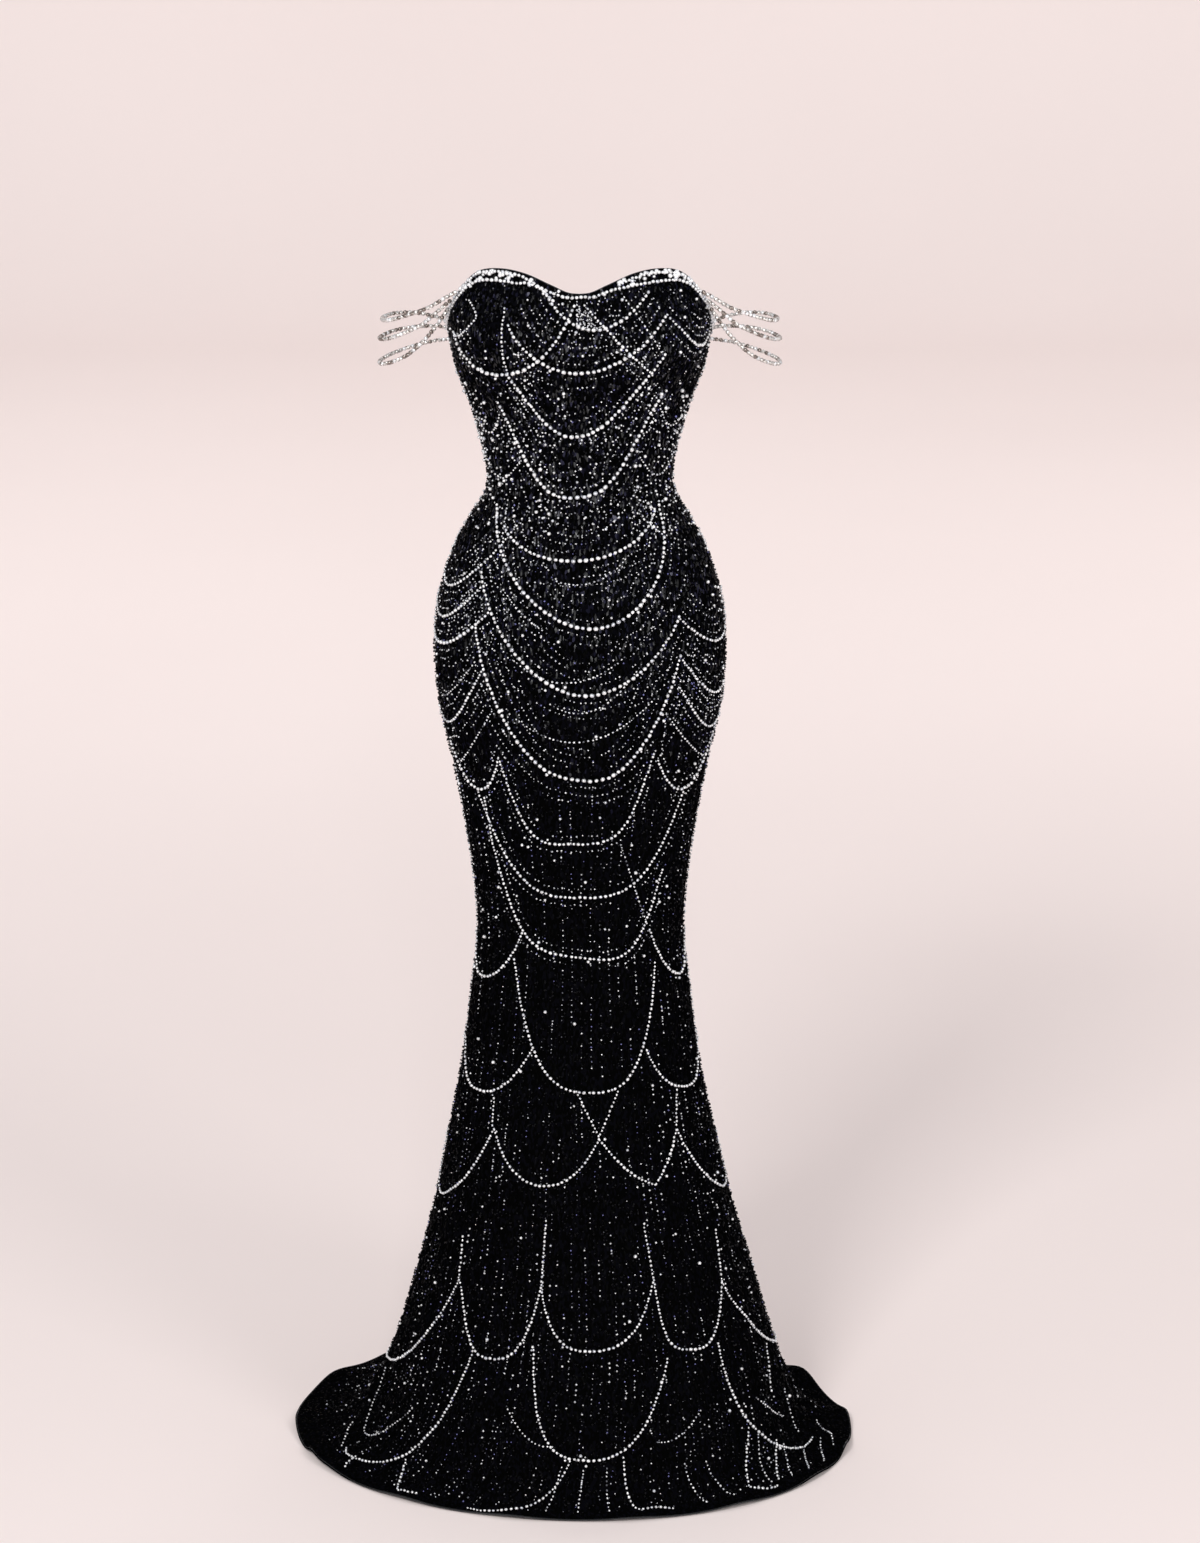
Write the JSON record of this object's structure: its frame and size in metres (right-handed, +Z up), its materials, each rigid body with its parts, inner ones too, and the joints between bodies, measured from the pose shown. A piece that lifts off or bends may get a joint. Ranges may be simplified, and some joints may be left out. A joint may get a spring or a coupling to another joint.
{
  "type": "evening gown",
  "caption": "strapless floor-length mermaid evening gown in beaded black mesh, with draped bead swags, bead strands over the arms and a short sweep train",
  "frame": {"origin": "on the wearer's body axis at the waist, 1.2 m over the floor that the hem rests on, where the gown is held by the waist", "axes": "+Z up, the wearer's front to -Y, the wearer's left side to +X, the train to +Y"},
  "size_m": [0.689, 0.6515, 1.4621],
  "materials": {
    "beaded_mesh": "black stretch mesh covered all over in small black beads and sequins",
    "glass_beads": "silver-lined clear glass beads strung on thread",
    "zip_tape": "black woven zip tape",
    "zip_metal": "dark plated zip slider and pull tab"
  },
  "bodies": {
    "gown": {"bodice_back_left": "beaded_mesh", "bodice_back_right": "beaded_mesh", "bodice_front": "beaded_mesh", "flare_back_left": "beaded_mesh", "flare_back_right": "beaded_mesh", "flare_front": "beaded_mesh", "neck_string_back_left": "glass_beads", "neck_string_back_right": "glass_beads", "neck_string_front": "glass_beads", "skirt_back_left": "beaded_mesh", "skirt_back_right": "beaded_mesh", "skirt_front": "beaded_mesh", "strand_lower_left": "glass_beads", "strand_lower_right": "glass_beads", "strand_middle_left": "glass_beads", "strand_middle_right": "glass_beads", "strand_upper_left": "glass_beads", "strand_upper_right": "glass_beads", "swags_bodice_back_left_1": "glass_beads", "swags_bodice_back_left_2": "glass_beads", "swags_bodice_back_right_1": "glass_beads", "swags_bodice_back_right_2": "glass_beads", "swags_bodice_front_1": "glass_beads", "swags_bodice_front_2": "glass_beads", "swags_flare_back_left_1": "glass_beads", "swags_flare_back_left_2": "glass_beads", "swags_flare_back_right_1": "glass_beads", "swags_flare_back_right_2": "glass_beads", "swags_flare_front_1": "glass_beads", "swags_flare_front_2": "glass_beads", "swags_flare_front_3": "glass_beads", "swags_hip_back_left_1": "glass_beads", "swags_hip_back_right_1": "glass_beads", "swags_hip_front_1": "glass_beads", "swags_hip_front_2": "glass_beads", "swags_hip_front_3": "glass_beads", "swags_hip_front_4": "glass_beads", "swags_hip_front_5": "glass_beads", "swags_knee_back_left_1": "glass_beads", "swags_knee_back_left_2": "glass_beads", "swags_knee_back_right_1": "glass_beads", "swags_knee_back_right_2": "glass_beads", "swags_knee_front_1": "glass_beads", "swags_knee_front_2": "glass_beads", "swags_knee_front_3": "glass_beads", "swags_knee_front_4": "glass_beads", "swags_knee_front_5": "glass_beads", "swags_thigh_back_left_1": "glass_beads", "swags_thigh_back_right_1": "glass_beads", "swags_thigh_front_1": "glass_beads", "swags_thigh_front_2": "glass_beads", "swags_thigh_front_3": "glass_beads", "swags_thigh_front_4": "glass_beads", "zip_slider": "zip_metal", "zip_tape": "zip_tape"},
    "pull_tab": {"pull_tab": "zip_metal"}
  },
  "joints": [
    {"name": "pull_tab_hinge", "type": "hinge", "parent": "gown", "child": "pull_tab", "pos_m": [0, 0.10246, 0.13564], "axis": [1, 0, 0], "range_deg": [0, 150]}
  ]
}
